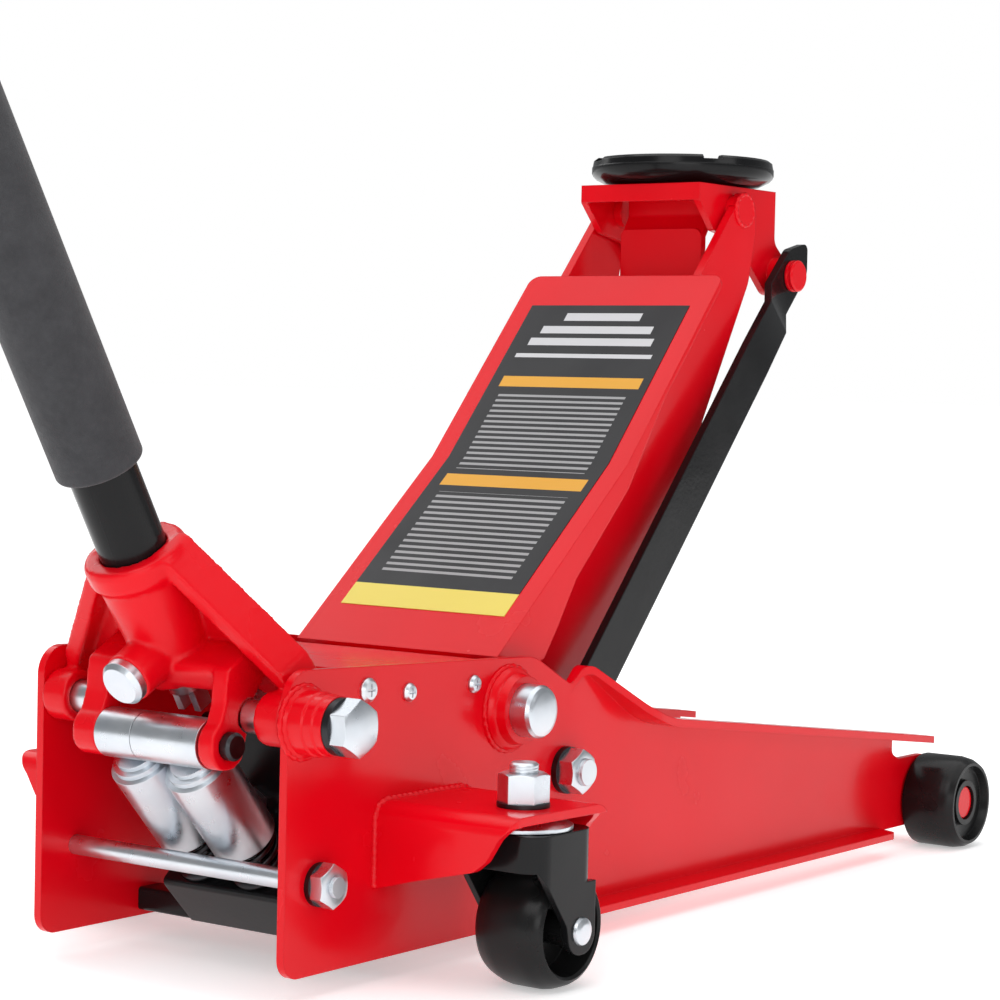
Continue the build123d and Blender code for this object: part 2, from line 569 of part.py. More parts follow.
def bent_sheet(points, top, bottom, half):
    """Sheet between two offsets of the cover line, across the arm."""
    upper, lower = offset_line(points, top), offset_line(points, bottom)
    face = [(x, z, 0) for x, z in upper + lower[::-1]]
    return slab_y(face, -half, half)


def arm_cover():
    """Bent cover plate whose sides fold down towards the base."""
    cover = bent_sheet(COVER, 0, COVER_T, COVER_HALF)
    (ax, az), (bx, bz), (cx, cz) = offset_line(COVER, COVER_T / 2)
    tip = 0.45
    side = slab_y([(ax, az, 0), (bx, bz, 0), (bx + tip * (cx - bx), bz + tip * (cz - bz), 0),
                   (bx, bz - 13, 0), (79, 189, 10), (62, 163, 10),
                   (50, 147, 4), (26, 141, 4)], COVER_HALF - COVER_T, COVER_HALF)
    cover = cover + side + mirrored(side)
    slanted = [e for e in cover.edges().filter_by(GeomType.LINE)
               if abs(e.length - COVER_T) < 0.01 and e.center().X > 220]
    return fillet(slanted, 7)


def label_line():
    """The stretch of the cover line that carries the label."""
    (ax, az), (bx, bz), (cx, cz) = COVER
    low, high = 0.19, 0.83
    return [(ax + low * (bx - ax), az + low * (bz - az)), (bx, bz),
            (bx + high * (cx - bx), bz + high * (cz - bz))]


def arm_label():
    """Thin plate on the cover, where the rating label goes."""
    return bent_sheet(label_line(), -LABEL_T, 0, LABEL_HALF)


def arm_cheek():
    """Left side of the arm: deep at the shaft, narrow at the saddle."""
    under = offset_line(COVER, COVER_T)
    (bx, bz), (cx, cz) = under[1], under[2]
    rise = (SADDLE_X - 1 - cx) / (cx - bx)
    top = (cx + rise * (cx - bx), cz + rise * (cz - bz))
    cheek = slab_y([(under[0][0] + 1, under[0][1], 3), (bx, bz, 0), (*top, 4), (286, 405, 6), (287, 388, 6), (280, 357, 20),
                    (160, 148, 28), (44, 72, 14), (6, 72, 14), (-18, 112, 12), (-18, 138, 12)],
                   CHEEK_IN, CHEEK_OUT)
    cheek -= bar_y(0, SHAFT_Z, SHAFT_R + FIT, 40, 60)
    cheek -= bar_y(LEVER_X, LEVER_Z, 7 + FIT, 40, 60)
    return cheek - bar_y(SADDLE_X, SADDLE_Z, 9 + FIT, 40, 60)


def arm_cross_members():
    """Tube that turns on the arm shaft, and a plate across the middle of the arm, both between the cheeks."""
    hub = ring_y(0, SHAFT_Z, HUB_R, SHAFT_R + FIT, -CHEEK_IN, CHEEK_IN)
    (bx, bz), (cx, cz) = offset_line(COVER, COVER_T)[1:]
    slope = atan2(cz - bz, cx - bx)
    centre = Vector(bx + 0.5 * (cx - bx) + 22 * sin(slope), 0, bz + 0.5 * (cz - bz) - 22 * cos(slope))
    plate = Box(5, 2 * CHEEK_IN, 40)
    return group([hub, Location(centre) * Rotation(0, 180 - degrees(slope), 0) * plate])


def lever_pin():
    return bar_y(LEVER_X, LEVER_Z, 7, -CHEEK_OUT - 2, CHEEK_OUT + 2)


def ram_roller():
    return ring_y(LEVER_X, LEVER_Z, RAM_ROLLER_R, 7 + FIT, -16, 16)


def shaft_spacers():
    """Tubes on the arm shaft that keep the arm midway between the plates."""
    return pair(ring_y(0, SHAFT_Z, 18, SHAFT_R + FIT, CHEEK_OUT + GAP, INNER))


def saddle_pivot_pins():
    """Stub pins welded in the ends of the cheeks."""
    return pair(bar_y(SADDLE_X, SADDLE_Z, 9, 33, CHEEK_OUT + 1.2))


# ---- saddle, its bracket and the radius rods ----------------------------------------------------
STEM_AT, STEM_R = 282.0, 11.0
BRACKET_TOP, BRACKET_T, BRACKET_HALF = 414.5, 4.5, 42.5
SADDLE_R, SADDLE_LOW, SADDLE_TOP = 55.5, BRACKET_TOP + GAP, 431.8


def saddle_bracket():
    """Channel that carries the saddle, kept level by the radius rods."""
    cheek = slab_y([(235, BRACKET_TOP, 0), (322, BRACKET_TOP, 0), (322, 383, 8), (338, 371, 10),
                    (338, 355, 10), (315, 350, 12), (278, 382, 10), (252, 387, 6), (235, 404, 2)],
                   BRACKET_HALF - BRACKET_T, BRACKET_HALF)
    cheek += ring_y(PIN_X, PIN_Z, 11.5, 7.0, BRACKET_HALF - 1, 48.7)
    cheek -= bar_y(SADDLE_X, SADDLE_Z, 9 + FIT, 30, 60)
    cheek -= bar_y(PIN_X, PIN_Z, 8 + FIT, 30, 60)
    top = slab_z([(235, -BRACKET_HALF, 0), (322, -BRACKET_HALF, 0), (322, BRACKET_HALF, 0),
                  (235, BRACKET_HALF, 0)], BRACKET_TOP - BRACKET_T, BRACKET_TOP)
    lip = slab_x([(-BRACKET_HALF, 404.2, 2), (BRACKET_HALF, 404.2, 2), (BRACKET_HALF, BRACKET_TOP, 0),
                  (-BRACKET_HALF, BRACKET_TOP, 0)], 235, 239.5)
    back = slab_x([(-29, 354, 0), (29, 354, 0), (29, 389, 4), (-29, 389, 6)], 259, 264)
    back += slab_y([(259, 384, 0), (264, 384, 0), (272, 396, 4), (272, 411, 0), (267, 411, 0), (267, 397, 4)],
                   -29, 29)
    tube = round_bar((STEM_AT, 0, 386), (STEM_AT, 0, BRACKET_TOP - 1), STEM_R + 4)
    bracket = cheek + mirrored(cheek) + top + lip + back + tube
    return bracket - round_bar((STEM_AT, 0, 370), (STEM_AT, 0, 420), STEM_R + FIT)


def radius_rod_pins():
    """Headed pins on the bracket for the front ends of the rods."""
    profile = [(0, 36), (8, 36), (8, 54.3), (9.6, 54.3), (9.6, 55.8), (8.4, 56.3), (8.4, 57),
               (9.6, 57.5), (9.6, 58.6), (8.6, 59.4), (0, 59.4)]
    return pair(turned_y(PIN_X, PIN_Z, profile))


def saddle():
    """Round cup with four raised pads on the rim and a stem that turns in the bracket."""
    r, z = SADDLE_R, SADDLE_LOW
    body = turned_z(STEM_AT, 0, [
        (0, 384), (STEM_R, 384), (STEM_R, z), (38, z), (47, z + 1.5), (53, z + 4.5), (r - 0.7, z + 6.4),
        (r, z + 8), (r, z + 11.5), (r - 1.5, z + 13), (44, z + 12.5), (40, z + 10), (0, z + 10)])
    rim = turned_z(STEM_AT, 0, [(44.5, z + 12), (46, SADDLE_TOP - 0.8), (47.5, SADDLE_TOP),
                                (r - 3, SADDLE_TOP), (r - 1, SADDLE_TOP - 1.5), (r - 0.2, z + 11)])
    slots = Box(2 * r + 10, 12, 30) + Box(12, 2 * r + 10, 30)
    rim -= Pos(STEM_AT, 0, SADDLE_TOP + 12.6) * Rotation(0, 0, 52) * slots
    return body + rim


def saddle_retainer():
    """Washer and screw that keep the stem in the bracket."""
    washer = round_bar((STEM_AT, 0, 381), (STEM_AT, 0, 384), STEM_R + 3)
    return washer + hexagon((STEM_AT, 0, 381.5), (STEM_AT, 0, 377), 10)


def radius_rod():
    """Left radius rod: a flat bar that leans inwards and is joggled at the saddle end."""
    length = ARM_LENGTH
    rear, bend, front, thick = 74.25, 58.4, 51.5, 5.0
    low, high = thick / 2, -thick / 2
    line = [(-15, rear), (350, bend), (366, front), (length + 30, front)]
    plan = [(s, y + low) for s, y in line] + [(s, y + high) for s, y in reversed(line)]
    bar = Plane.XY.offset(-20) * extrude(make_face(Polyline(*plan, close=True)), 40)
    shape = Plane(origin=(0, 100, 0), x_dir=(1, 0, 0), z_dir=(0, -1, 0)) * extrude(outline([
        (-15, -14, 13), (315, -14, 40), (352, -13, 30), (length + 14, -12, 10), (length + 28, 2, 4),
        (length + 10, 13, 8), (352, 13, 30), (315, 14, 40), (-15, 14, 13)]), 60)
    rod = bar & shape
    rod -= bar_y(0, 0, LINK_BOLT_R + FIT, 50, 100)
    rod -= bar_y(length, 0, 8 + 0.15, 40, 100)
    return Pos(LINK_X, 0, LINK_Z) * Rotation(0, -ARM_ANGLE, 0) * rod


# ---- the whole jack -----------------------------------------------------------------------------
def build():
    add_pair("side_plate", side_plate())
    add_pair("caster_bracket", caster_bracket())
    add_pair("front_wheel", front_wheel())
    add_pair("caster_fork", caster_fork())
    add_pair("caster_axle", caster_axle())
    add_pair("caster_wheel", caster_wheel())
    add_pair("arm_cheek", arm_cheek())
    add_pair("radius_rod", radius_rod())
    for side, name in ((1, "left"), (-1, "right")):
        parts[name + "_plunger_cap"] = plunger_cap(side)
        parts[name + "_plunger_rod"] = plunger_rod(side)
    parts["rear_tie_rod"] = bar_y(TIE_X, TIE_Z, TIE_R, -95.5, 95.5)
    single = [unit_cover, cover_screws, plate_bushings, arm_shaft, handle_pivot_bolts, radius_rod_bolts,
              hex_nuts, lock_washers, caster_stems, front_axle, pump_block, reservoir, ram_cylinder,
              filler_plug, release_valve, release_shaft, pump_springs, ram, handle_yoke,
              clamp_bolt, roller_pin, pump_rollers, lower_handle_tube, upper_handle_tube, handle_sleeve,
              handle_grip, handle_lock_button, release_coupling, arm_cover, arm_label, arm_cross_members,
              lever_pin, ram_roller, shaft_spacers, saddle_pivot_pins, saddle_bracket, radius_rod_pins,
              saddle, saddle_retainer]
    for maker in single:
        parts[maker.__name__] = maker()


def centre_line():
    """Middle of the whole jack along X, where the finished part has its origin."""
    boxes = [shape.bounding_box() for shape in parts.values()]
    return (min(b.min.X for b in boxes) + max(b.max.X for b in boxes)) / 2


build()
CENTRE_X = centre_line()
os.makedirs("parts", exist_ok=True)
for name, shape in parts.items():
    export_step(Pos(-CENTRE_X, 0, 0) * shape, f"parts/{name}.step")
print(len(parts), "nodes, drawing origin at x =", round(-CENTRE_X, 3))
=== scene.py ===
"""Looks of a low-profile trolley jack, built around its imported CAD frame.

Metres, with +X towards the front wheels, +Y to the jack's left and the floor at z = 0.
"""

import json
from math import cos, radians, sin, tau

import bmesh
import bpy
from mathutils import Matrix, Vector


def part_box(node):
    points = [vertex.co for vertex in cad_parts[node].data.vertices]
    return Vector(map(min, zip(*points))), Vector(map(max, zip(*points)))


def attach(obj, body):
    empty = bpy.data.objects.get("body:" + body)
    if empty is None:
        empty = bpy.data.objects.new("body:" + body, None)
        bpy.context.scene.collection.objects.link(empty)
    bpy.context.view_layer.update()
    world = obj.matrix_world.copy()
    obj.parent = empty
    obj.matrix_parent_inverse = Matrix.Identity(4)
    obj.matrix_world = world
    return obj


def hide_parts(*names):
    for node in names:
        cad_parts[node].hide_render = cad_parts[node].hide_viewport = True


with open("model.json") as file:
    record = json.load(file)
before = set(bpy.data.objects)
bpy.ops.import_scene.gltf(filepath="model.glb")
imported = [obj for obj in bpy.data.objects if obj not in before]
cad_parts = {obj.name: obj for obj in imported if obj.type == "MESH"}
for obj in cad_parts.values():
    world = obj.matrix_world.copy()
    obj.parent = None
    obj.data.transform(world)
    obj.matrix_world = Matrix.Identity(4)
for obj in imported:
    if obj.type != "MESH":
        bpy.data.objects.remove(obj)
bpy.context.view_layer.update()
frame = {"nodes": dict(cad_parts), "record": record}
CAD = frame["nodes"]

# ---- places, as in the CAD: millimetres from the arm shaft's line and the floor ------------------
MM = 0.001
SIDES = (1, -1)                             # left, right
PLATE_Y = 82.5                              # outer face of a side plate
SHAFT_Z = 126
LINK_X, LINK_Z = 51.6, 89                   # rear pivot of the radius rods
TIE_X, TIE_Z = -150, 55                     # tie bar at the rear
STEM_X, STEM_Y = -71, 144                   # caster stems
YOKE_X, YOKE_Z = -163, 133                  # pump yoke pivot
BRACKET_X, BRACKET_Z = 273, 400             # saddle bracket's pivot on the arm

ROLLER_X, ROLLER_Z = -178, 120              # axis of the pump rollers
PLUNGER_Y = 18
PLUNGER_ANGLE = radians(47.7)               # plungers point down and forwards by this angle
PLUNGER_TOP = 13                            # a plunger cap's end face, measured from the rollers' axis
SPRING_R, SPRING_WIRE_R = 13.3, 1.6
SPRING_START, SPRING_TURNS, SPRING_PITCH = 27, 9.2, 5.2
SEAT_R, SEAT_BORE = 16.3, 5.6               # washer under a spring
SEAT_START, SEAT_END = 77, 79               # its faces, measured down the plunger

low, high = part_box("arm_shaft")
SHAFT_X = (low.x + high.x) / 2


def at(x, y, z):
    """Millimetres measured from the arm shaft's line and the floor, as a point of the frame."""
    return Vector((SHAFT_X + x * MM, y * MM, z * MM))


# ---- shader helpers -----------------------------------------------------------------------------
class Finish:
    """A Principled material and short ways to add procedural detail to it."""

    def __init__(self, name, color, roughness, metallic=0.0, coat=0.0, specular=0.5):
        self.material = bpy.data.materials.new(name)
        self.material.use_nodes = True
        self.tree = self.material.node_tree
        self.surface = self.tree.nodes["Principled BSDF"]
        self.surface.inputs["Base Color"].default_value = (*color, 1)
        self.surface.inputs["Roughness"].default_value = roughness
        self.surface.inputs["Metallic"].default_value = metallic
        self.surface.inputs["Specular IOR Level"].default_value = specular
        self.surface.inputs["Coat Weight"].default_value = coat
        self.surface.inputs["Coat Roughness"].default_value = 0.03
        self.place = self.add("ShaderNodeTexCoord").outputs["Object"]
        self.normal = None

    def add(self, kind, **values):
        node = self.tree.nodes.new(kind)
        for key, value in values.items():
            setattr(node, key, value)
        return node

    def link(self, source, target):
        self.tree.links.new(source, target)

    def noise(self, scale, detail, rough=0.5):
        node = self.add("ShaderNodeTexNoise")
        node.inputs["Scale"].default_value = scale
        node.inputs["Detail"].default_value = detail
        node.inputs["Roughness"].default_value = rough
        self.link(self.place, node.inputs["Vector"])
        return node.outputs["Fac"]

    def cells(self, scale):
        node = self.add("ShaderNodeTexVoronoi")
        node.inputs["Scale"].default_value = scale
        self.link(self.place, node.inputs["Vector"])
        return node.outputs["Distance"]

    def spread(self, source, low, high, from_low=0.3, from_high=0.7):
        """The source value stretched from one range to another."""
        node = self.add("ShaderNodeMapRange")
        node.inputs["From Min"].default_value = from_low
        node.inputs["From Max"].default_value = from_high
        node.inputs["To Min"].default_value = low
        node.inputs["To Max"].default_value = high
        self.link(source, node.inputs["Value"])
        return node.outputs["Result"]

    def rough(self, source, low, high):
        """Roughness between two values, following the source."""
        self.link(self.spread(source, low, high), self.surface.inputs["Roughness"])

    def tint(self, source, first, second):
        """Colour between two colours, following the source."""
        ramp = self.add("ShaderNodeValToRGB")
        for stop, position, color in zip(ramp.color_ramp.elements, (0.3, 0.7), (first, second)):
            stop.position = position
            stop.color = (*color, 1)
        self.link(source, ramp.inputs["Fac"])
        self.link(ramp.outputs["Color"], self.surface.inputs["Base Color"])

    def soften(self, radius):
        """Rounds the edges in the shading, as a layer of paint or a tumbled edge does."""
        node = self.add("ShaderNodeBevel", samples=4)
        node.inputs["Radius"].default_value = radius
        self.normal = node.outputs["Normal"]
        self.link(self.normal, self.surface.inputs["Normal"])

    def bump(self, source, distance, strength):
        """Relief on top of the relief already there."""
        node = self.add("ShaderNodeBump")
        node.inputs["Distance"].default_value = distance
        node.inputs["Strength"].default_value = strength
        self.link(source, node.inputs["Height"])
        if self.normal:
            self.link(self.normal, node.inputs["Normal"])
        self.normal = node.outputs["Normal"]
        self.link(self.normal, self.surface.inputs["Normal"])


# ---- finishes -----------------------------------------------------------------------------------
def paint(name, first, second, roughness=(0.16, 0.28), coat=0.05, specular=0.22):
    """Sprayed paint: a slight orange peel over slow waves."""
    finish = Finish(name, first, 0.2, coat=coat, specular=specular)
    finish.tint(finish.noise(scale=9, detail=4), first, second)
    finish.rough(finish.noise(scale=22, detail=4), *roughness)
    finish.soften(0.0009)
    finish.bump(finish.noise(scale=420, detail=2), distance=0.00006, strength=0.35)
    finish.bump(finish.noise(scale=60, detail=2), distance=0.0005, strength=0.12)
    return finish


def steel(name, first, second, roughness=(0.16, 0.34), radius=0.0005):
    """Bare or plated metal with a fine grain."""
    finish = Finish(name, first, 0.3, metallic=1.0)
    finish.tint(finish.noise(scale=28, detail=3), first, second)
    finish.rough(finish.noise(scale=120, detail=4), *roughness)
    finish.soften(radius)
    finish.bump(finish.noise(scale=900, detail=3), distance=0.00003, strength=0.4)
    return finish


def plastic(name, first, second, roughness=(0.3, 0.45)):
    """Moulded plastic or rubber with a fine grain."""
    finish = Finish(name, first, 0.4, specular=0.22)
    finish.tint(finish.noise(scale=14, detail=4), first, second)
    finish.rough(finish.noise(scale=40, detail=4), *roughness)
    finish.soften(0.0007)
    finish.bump(finish.noise(scale=1500, detail=2), distance=0.00003, strength=0.4)
    return finish


def foam_finish():
    """Closed-cell foam: small pores over a soft unevenness, and a faint sheen."""
    finish = Finish("foam", (0.036, 0.036, 0.039), 0.85, specular=0.3)
    finish.tint(finish.noise(scale=60, detail=6, rough=0.7), (0.031, 0.031, 0.034), (0.046, 0.046, 0.050))
    finish.rough(finish.noise(scale=300, detail=3), 0.75, 0.95)
    finish.surface.inputs["Sheen Weight"].default_value = 0.15
    finish.surface.inputs["Sheen Roughness"].default_value = 0.5
    finish.bump(finish.cells(scale=1500), distance=0.0003, strength=0.35)
    finish.bump(finish.noise(scale=220, detail=5, rough=0.65), distance=0.0006, strength=0.3)
    return finish


INK, PALE, RULE = (0.012, 0.012, 0.014), (0.70, 0.70, 0.72), (0.55, 0.55, 0.56)
AMBER, YELLOW = (0.74, 0.36, 0.03), (0.80, 0.66, 0.12)


def label_finish():
    """Dark film with amber bands, a yellow foot and plain rules.

    Heights run from 0 at the label's foot to 1 at its head, and widths from -1 to 1 across it.
    """
    finish = Finish("label_film", INK, 0.35, specular=0.3)
    split = finish.add("ShaderNodeSeparateXYZ")
    finish.link(finish.place, split.inputs["Vector"])
    low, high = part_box("arm_label")
    height = finish.spread(split.outputs["Z"], 0.0, 1.0, low.z, high.z)
    across = finish.spread(split.outputs["Y"], -1.0, 1.0, low.y, high.y)

    def math(operation, first, *values):
        node = finish.add("ShaderNodeMath", operation=operation)
        finish.link(first, node.inputs[0])
        for i, value in enumerate(values, 1):
            if isinstance(value, float):
                node.inputs[i].default_value = value
            else:
                finish.link(value, node.inputs[i])
        return node.outputs[0]

    def inside(value, start, end):
        return math("COMPARE", value, (start + end) / 2, (end - start) / 2)

    def area(bottom, top, left, right):
        return math("MULTIPLY", inside(height, bottom, top), inside(across, left, right))

    def lay(under, mask, strength, ink):
        """Prints an ink over what lies under it, where the mask is 1."""
        node = finish.add("ShaderNodeMix", data_type="RGBA")
        finish.link(math("MULTIPLY", mask, strength), node.inputs["Factor"])
        finish.link(under, node.inputs["A"])
        node.inputs["B"].default_value = (*ink, 1)
        return node.outputs["Result"]

    color = finish.add("ShaderNodeRGB").outputs[0]
    color.default_value = (*INK, 1)
    rules, rule_share = 56.0, 0.42
    rule = math("LESS_THAN", math("FRACT", math("MULTIPLY", height, rules)), rule_share)
    for bottom, top in ((0.100, 0.358), (0.434, 0.692)):
        block = area(bottom, top, -0.80, 0.80)
        color = lay(color, math("MULTIPLY", block, rule), 0.6, RULE)
    for bottom, top, reach in ((0.945, 0.972, 0.48), (0.900, 0.926, 0.70), (0.858, 0.884, 0.78),
                               (0.815, 0.829, 0.86)):
        color = lay(color, area(bottom, top, -reach, reach), 0.85, PALE)
    for bottom, top in ((0.379, 0.416), (0.713, 0.749)):
        color = lay(color, area(bottom, top, -0.90, 0.86), 1.0, AMBER)
    color = lay(color, area(0.0, 0.066, -1.1, 1.1), 1.0, YELLOW)
    finish.link(color, finish.surface.inputs["Base Color"])
    finish.rough(finish.noise(scale=30, detail=3), 0.3, 0.45)
    finish.bump(finish.noise(scale=700, detail=2), distance=0.00003, strength=0.3)
    return finish


RED, BRIGHT_RED = (0.690, 0.0004, 0.0060), (0.750, 0.0008, 0.0085)
red = paint("red_paint", RED, BRIGHT_RED)
cast_red = paint("cast_red_paint", RED, BRIGHT_RED, roughness=(0.22, 0.36))
cast_red.bump(cast_red.noise(scale=130, detail=4, rough=0.6), distance=0.0008, strength=0.25)
zinc = steel("zinc_steel", (0.62, 0.66, 0.71), (0.72, 0.75, 0.78), roughness=(0.26, 0.36))
dark = steel("dark_steel", (0.035, 0.035, 0.038), (0.07, 0.07, 0.075), roughness=(0.3, 0.45))

# By the record's material slots.
FINISHES = {
    "red_paint": red,
    "zinc_steel": zinc,
    "bright_chrome": steel("bright_chrome", (0.74, 0.75, 0.77), (0.84, 0.84, 0.85), (0.05, 0.12),
                           radius=0.0003),
    "dark_steel": dark,
    "black_paint": paint("black_paint", (0.0045, 0.0045, 0.005), (0.008, 0.008, 0.0085), (0.12, 0.24),
                         coat=0.0, specular=0.2),
    "black_plastic": plastic("black_plastic", (0.005, 0.005, 0.0055), (0.010, 0.010, 0.010), (0.22, 0.36)),
    "foam": foam_finish(),
    "black_rubber": plastic("black_rubber", (0.012, 0.012, 0.012), (0.02, 0.02, 0.02), (0.55, 0.7)),
    "label_film": label_finish(),
}


# ---- carried-over CAD nodes ---------------------------------------------------------------------
MERGE = 0.00001                             # vertices nearer than this are one
SHARP = radians(32)                         # edges sharper than this stay sharp


def dress(obj, finish):
    """Gives a CAD node its material and clean shading; the mesh itself stays as it is."""
    obj.data.materials.clear()
    obj.data.materials.append(finish.material)
    if "custom_normal" in obj.data.attributes:
        obj.data.attributes.remove(obj.data.attributes["custom_normal"])
    for polygon in obj.data.polygons:
        polygon.use_smooth = True
    weld = obj.modifiers.new("weld", "WELD")
    weld.merge_threshold = MERGE
    split = obj.modifiers.new("split", "EDGE_SPLIT")
    split.split_angle = SHARP
    split.use_edge_sharp = False


def cast(name, voxel, rounds):
    """Rounds a casting's edges and corners, and gives it the rougher paint."""
    obj = CAD[name]
    obj.modifiers.remove(obj.modifiers["split"])
    mesh = obj.modifiers.new("cast", "REMESH")
    mesh.mode = "VOXEL"
    mesh.voxel_size = voxel
    mesh.use_smooth_shade = True
    smooth = obj.modifiers.new("smooth", "SMOOTH")
    smooth.factor = 0.5
    smooth.iterations = rounds
    obj.data.materials[0] = cast_red.material


slots = {part["node"]: part["material_slot"] for part in frame["record"]["subparts"]}
for name, obj in CAD.items():
    dress(obj, FINISHES[slots[name]])
cast("handle_yoke", voxel=0.0011, rounds=5)


# ---- mesh helpers -------------------------------------------------------------------------------
def to_mesh(builder, name):
    mesh = bpy.data.meshes.new(name)
    builder.to_mesh(mesh)
    builder.free()
    return mesh


def finish_piece(name, builder, finish, body, *replaced):
    """Turns a bmesh into a piece that rides on a body, and may stand for CAD nodes."""
    bmesh.ops.recalc_face_normals(builder, faces=builder.faces)
    mesh = to_mesh(builder, name)
    obj = bpy.data.objects.new(name, mesh)
    bpy.context.scene.collection.objects.link(obj)
    mesh.materials.append(finish.material)
    for polygon in mesh.polygons:
        polygon.use_smooth = True
    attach(obj, body)
    if replaced:
        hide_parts(*replaced)


def add_loop(builder, center, side, up, radius, sides):
    """Ring of vertices about a centre."""
    angles = (tau * k / sides for k in range(sides))
    return [builder.verts.new(center + radius * (cos(a) * side + sin(a) * up)) for a in angles]


def bridge(builder, first, second):
    """Quads between two rings of vertices."""
    sides = len(first)
    for k in range(sides):
        after = (k + 1) % sides
        builder.faces.new((first[k], first[after], second[after], second[k]))


def add_tube(builder, points, radius, sides, taper=None):
    """Sweeps a circle along points, with closed ends; taper gives its share of the radius along the way."""
    last = len(points) - 1
    loops = []
    side = None
    for i, point in enumerate(points):
        ahead = points[min(i + 1, last)] - points[max(i - 1, 0)]
        ahead.normalize()
        if side is None:
            side = ahead.orthogonal().normalized()
        side = (side - ahead * side.dot(ahead)).normalized()
        share = taper(i / last) if taper else 1
        loops.append(add_loop(builder, point, side, ahead.cross(side), radius * share, sides))
    for first, second in zip(loops, loops[1:]):
        bridge(builder, first, second)
    builder.faces.new(loops[0][::-1])
    builder.faces.new(loops[-1])


def add_washer(builder, origin, axis, outer, inner, start, end, sides=40):
    """Flat washer about an axis."""
    axis = axis.normalized()
    side = axis.orthogonal().normalized()
    up = axis.cross(side)
    corners = ((outer, start), (outer, end), (inner, end), (inner, start))
    loops = [add_loop(builder, origin + axis * along, side, up, radius, sides) for radius, along in corners]
    for first, second in zip(loops, loops[1:] + loops[:1]):
        bridge(builder, first, second)


def helix(origin, axis, radius, start, turns, pitch, per_turn):
    """Points of a helix about an axis."""
    axis = axis.normalized()
    side = axis.orthogonal().normalized()
    up = axis.cross(side)
    points = []
    for i in range(int(turns * per_turn) + 1):
        a = tau * i / per_turn
        center = origin + axis * (start + pitch * i / per_turn)
        points.append(center + radius * (cos(a) * side + sin(a) * up))
    return points


# ---- pump springs -------------------------------------------------------------------------------
def pump_springs():
    """True coils on their seats, in place of the CAD's stacked rings."""
    down = Vector((cos(PLUNGER_ANGLE), 0, -sin(PLUNGER_ANGLE)))
    builder = bmesh.new()
    for side in SIDES:
        top = at(ROLLER_X, 0, ROLLER_Z) + down * PLUNGER_TOP * MM + Vector((0, side * PLUNGER_Y * MM, 0))
        coil = helix(top, down, SPRING_R * MM, SPRING_START * MM, SPRING_TURNS, SPRING_PITCH * MM, 28)
        add_tube(builder, coil, SPRING_WIRE_R * MM, sides=10)
        add_washer(builder, top, down, SEAT_R * MM, SEAT_BORE * MM, SEAT_START * MM, SEAT_END * MM)
    finish_piece("pump_spring_coils", builder, dark, "chassis", "pump_springs")


# ---- threads on the studs -----------------------------------------------------------------------
def add_thread(builder, origin, axis, radius, start, length, pitch):
    """Thread ridges on a stud's bare end, as a thin helix that fades out at both ends."""
    sunk = 0.12                             # the helix's line lies this deep in the stud
    ridge = 0.30                            # its radius, as a share of the pitch
    fade = 12                               # it reaches full size after one twelfth of its length
    points = helix(origin, axis, (radius - sunk) * MM, start * MM, length / pitch, pitch * MM, 24)
    add_tube(builder, points, pitch * ridge * MM, 6, lambda t: min(1, fade * t, fade * (1 - t)) * 0.9 + 0.1)


def stud_threads():
    builder = bmesh.new()
    for side in SIDES:
        out, up = Vector((0, side, 0)), Vector((0, 0, 1))
        add_thread(builder, at(LINK_X, 0, LINK_Z), out, radius=7.0, start=95.5, length=2.6, pitch=1.3)
        add_thread(builder, at(TIE_X, 0, TIE_Z), out, radius=5.0, start=93.0, length=2.1, pitch=1.0)
        add_thread(builder, at(STEM_X, side * STEM_Y, 0), up, radius=7.0, start=106.5, length=4.2, pitch=1.4)
    finish_piece("stud_threads", builder, zinc, "chassis")


# ---- weld beads ---------------------------------------------------------------------------------
BEAD_STEP = 0.6                             # distance between a bead's points
RIPPLE, RIPPLE_TURN = 0.13, 0.9             # ripples' share of a bead's radius, and their turn at each point
BEAD_Y = PLATE_Y + 0.3                      # beads on a side plate are laid just proud of it


def weld_bead(name, paths, radius, body):
    """Rippled beads laid along paths of (x, y, z) millimetre points."""
    builder = bmesh.new()
    for path in paths:
        corners = [at(*corner) for corner in path]
        points = []
        for first, second in zip(corners, corners[1:]):
            steps = max(2, int((second - first).length / (BEAD_STEP * MM)))
            points += [first.lerp(second, i / steps) for i in range(steps)]
        points.append(corners[-1])
        count = len(points)
        add_tube(builder, points, radius * MM, 8, lambda t: 1 + RIPPLE * sin(t * count * RIPPLE_TURN))
    finish_piece(name, builder, red, body)


def circle(x, y, z, radius, steps=48):
    """Points of a closed circle square to the Y axis."""
    angles = (tau * k / steps for k in range(steps + 1))
    return [(x + radius * cos(a), y, z + radius * sin(a)) for a in angles]


def welds():
    """Beads round the caster shelves, the collars on the side plates and the arm's front pivots."""
    shelf = [(-108.6, 48), (-108.6, 82), (-106, 87.5), (-100, 89.6), (-40, 89.6), (-33, 87.5), (-30.9, 82),
             (-30.9, 50)]
    weld_bead("shelf_welds", [[(x, side * BEAD_Y, z) for x, z in shelf] for side in SIDES], 2.0, "chassis")
    collars = [circle(0, side * BEAD_Y, SHAFT_Z, 21.6) for side in SIDES]
    weld_bead("collar_welds", collars + [circle(YOKE_X, -BEAD_Y, YOKE_Z, 17)], 1.5, "chassis")
    pivots = [circle(BRACKET_X, side * 50.2, BRACKET_Z, 9.4) for side in SIDES]
    weld_bead("pivot_welds", pivots, 1.4, "lift_arm")


pump_springs()
stud_threads()
welds()


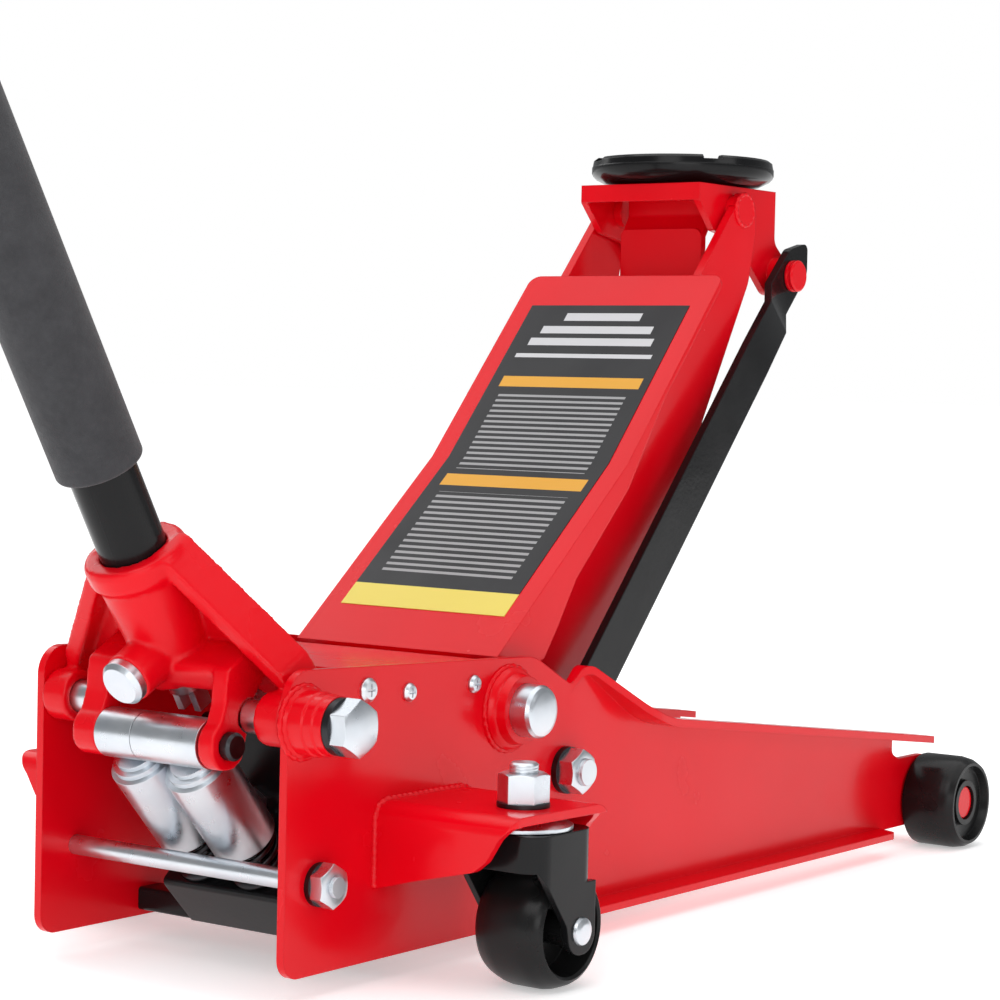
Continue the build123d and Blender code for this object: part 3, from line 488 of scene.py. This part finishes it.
# ---- stage --------------------------------------------------------------------------------------
def floor():
    """Wide pale floor with a little light of its own, so that it stays near white."""
    finish = Finish("floor", (0.9, 0.9, 0.9), 0.9, specular=0.0)
    finish.surface.inputs["Emission Color"].default_value = (1, 1, 1, 1)
    finish.surface.inputs["Emission Strength"].default_value = 0.42
    builder = bmesh.new()
    bmesh.ops.create_grid(builder, x_segments=2, y_segments=2, size=60)
    mesh = to_mesh(builder, "floor")
    mesh.materials.append(finish.material)
    obj = bpy.data.objects.new("floor", mesh)
    bpy.context.scene.collection.objects.link(obj)


def studio():
    """White behind the jack, and a dimmer room that lights it and shows in its gloss."""
    world = bpy.data.worlds.new("studio")
    world.use_nodes = True
    tree = world.node_tree
    seen = tree.nodes["Background"]
    seen.inputs["Color"].default_value = (1, 1, 1, 1)
    seen.inputs["Strength"].default_value = 1.0
    room = tree.nodes.new("ShaderNodeBackground")
    room.inputs["Color"].default_value = (0.96, 0.98, 1, 1)
    room.inputs["Strength"].default_value = 0.30
    path = tree.nodes.new("ShaderNodeLightPath")
    mix = tree.nodes.new("ShaderNodeMixShader")
    tree.links.new(path.outputs["Is Camera Ray"], mix.inputs["Fac"])
    tree.links.new(room.outputs["Background"], mix.inputs[1])
    tree.links.new(seen.outputs["Background"], mix.inputs[2])
    tree.links.new(mix.outputs["Shader"], tree.nodes["World Output"].inputs["Surface"])
    bpy.context.scene.world = world


def light(name, place, width, power, height=None, aim=(0, 0, 0.2)):
    """Rectangular lamp that points at the jack; its height is its width unless given."""
    data = bpy.data.lights.new(name, "AREA")
    data.shape = "RECTANGLE"
    data.size = width
    data.size_y = height or width
    data.energy = power
    obj = bpy.data.objects.new(name, data)
    obj.location = place
    obj.rotation_euler = (Vector(aim) - Vector(place)).to_track_quat("-Z", "Y").to_euler()
    bpy.context.scene.collection.objects.link(obj)


def sky():
    """Wide soft sun straight overhead."""
    data = bpy.data.lights.new("sky", "SUN")
    data.energy = 1.45
    data.angle = radians(80)
    bpy.context.scene.collection.objects.link(bpy.data.objects.new("sky", data))


def camera():
    """Long lens from behind the jack's right rear corner, just above the frame."""
    yaw, pitch, roll = radians(36.3), radians(-2.447), radians(1.269)
    ahead = Vector((cos(yaw) * cos(pitch), sin(yaw) * cos(pitch), sin(pitch)))
    right = Vector((sin(yaw), -cos(yaw), 0))
    up = right.cross(ahead)
    side = cos(roll) * right + sin(roll) * up
    top = -sin(roll) * right + cos(roll) * up
    data = bpy.data.cameras.new("camera")
    data.sensor_width = 36
    data.lens = 98.09
    data.clip_start = 0.05
    obj = bpy.data.objects.new("camera", data)
    turn = Matrix((side, top, -ahead)).transposed().to_4x4()
    obj.matrix_world = Matrix.Translation(at(-1131.7, -905.2, 293.2)) @ turn
    bpy.context.scene.collection.objects.link(obj)
    bpy.context.scene.camera = obj


floor()
studio()
light("key", (-2.3, -0.6, 2.4), width=1.8, power=24)
light("front", (-2.5, -2.2, 0.9), width=2.2, power=22, height=1.2)
light("side", (0.4, -2.8, 1.5), width=1.4, power=9, height=1.0)
light("top", (0.2, 0.2, 3.0), width=2.4, power=5, aim=(0, 0, 0))
light("rim", (0.6, 2.4, 1.8), width=1.6, power=14)
sky()
camera()
bpy.context.scene.view_settings.view_transform = "Standard"
